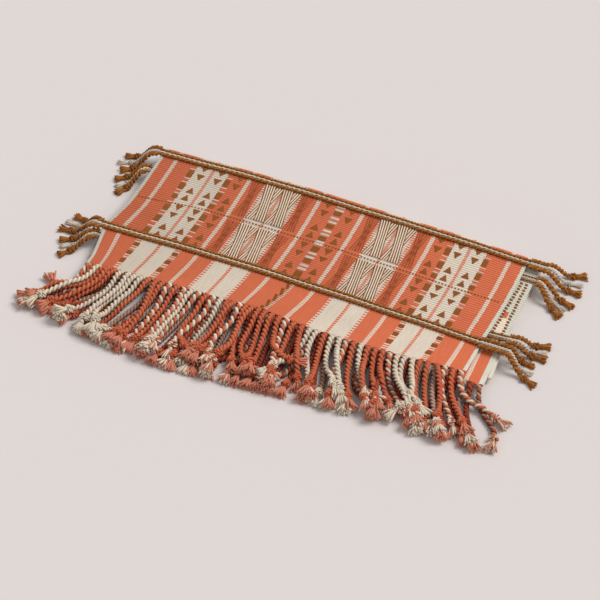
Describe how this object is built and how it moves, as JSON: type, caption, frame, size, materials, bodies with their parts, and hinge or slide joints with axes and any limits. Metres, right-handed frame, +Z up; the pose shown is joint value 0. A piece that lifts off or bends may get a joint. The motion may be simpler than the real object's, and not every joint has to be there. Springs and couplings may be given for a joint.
{
  "type": "table runner",
  "caption": "Folded handwoven table runner with striped and brocaded cloth, twined bands, side tails and knotted warp fringes.",
  "frame": {"origin": "middle of the folded packet's flat underside", "axes": "+X along the weft, across the width of the cloth; +Y away from the fringes, towards the back folds; +Z up"},
  "size_m": [0.4851, 0.2638, 0.0193],
  "materials": {
    "woven_cloth": "matt ribbed cotton weave in coral with cream, ochre and pale mint",
    "band_brown": "matt twisted cotton yarn in ochre brown",
    "band_cream": "matt twisted cotton yarn in cream",
    "fringe_cord": "matt two-ply cotton cord in coral and cream"
  },
  "bodies": {
    "root": {"lower_back_band_back_brown": "band_brown", "lower_back_band_cream": "band_cream", "lower_back_band_front_brown": "band_brown", "lower_back_left_tail_back_brown": "band_brown", "lower_back_left_tail_cream": "band_cream", "lower_back_left_tail_front_brown": "band_brown", "lower_back_right_tail_back_brown": "band_brown", "lower_back_right_tail_cream": "band_cream", "lower_back_right_tail_front_brown": "band_brown", "lower_fringe_bundle_1": "fringe_cord", "lower_fringe_bundle_2": "fringe_cord", "lower_fringe_bundle_3": "fringe_cord", "lower_fringe_bundle_4": "fringe_cord", "lower_fringe_bundle_5": "fringe_cord", "lower_fringe_bundle_6": "fringe_cord", "lower_fringe_bundle_7": "fringe_cord", "lower_fringe_bundle_8": "fringe_cord", "lower_fringe_bundle_9": "fringe_cord", "lower_front_band_back_brown": "band_brown", "lower_front_band_cream": "band_cream", "lower_front_band_front_brown": "band_brown", "lower_front_left_tail_back_brown": "band_brown", "lower_front_left_tail_cream": "band_cream", "lower_front_left_tail_front_brown": "band_brown", "lower_front_right_tail_back_brown": "band_brown", "lower_front_right_tail_cream": "band_cream", "lower_front_right_tail_front_brown": "band_brown", "upper_back_band_back_brown": "band_brown", "upper_back_band_cream": "band_cream", "upper_back_band_front_brown": "band_brown", "upper_back_left_tail_back_brown": "band_brown", "upper_back_left_tail_cream": "band_cream", "upper_back_left_tail_front_brown": "band_brown", "upper_back_right_tail_back_brown": "band_brown", "upper_back_right_tail_cream": "band_cream", "upper_back_right_tail_front_brown": "band_brown", "upper_fringe_bundle_1": "fringe_cord", "upper_fringe_bundle_2": "fringe_cord", "upper_fringe_bundle_3": "fringe_cord", "upper_fringe_bundle_4": "fringe_cord", "upper_fringe_bundle_5": "fringe_cord", "upper_fringe_bundle_6": "fringe_cord", "upper_fringe_bundle_7": "fringe_cord", "upper_fringe_bundle_8": "fringe_cord", "upper_fringe_bundle_9": "fringe_cord", "upper_front_band_back_brown": "band_brown", "upper_front_band_cream": "band_cream", "upper_front_band_front_brown": "band_brown", "upper_front_left_tail_back_brown": "band_brown", "upper_front_left_tail_cream": "band_cream", "upper_front_left_tail_front_brown": "band_brown", "upper_front_right_tail_back_brown": "band_brown", "upper_front_right_tail_cream": "band_cream", "upper_front_right_tail_front_brown": "band_brown", "woven_cloth": "woven_cloth"}
  },
  "joints": []
}
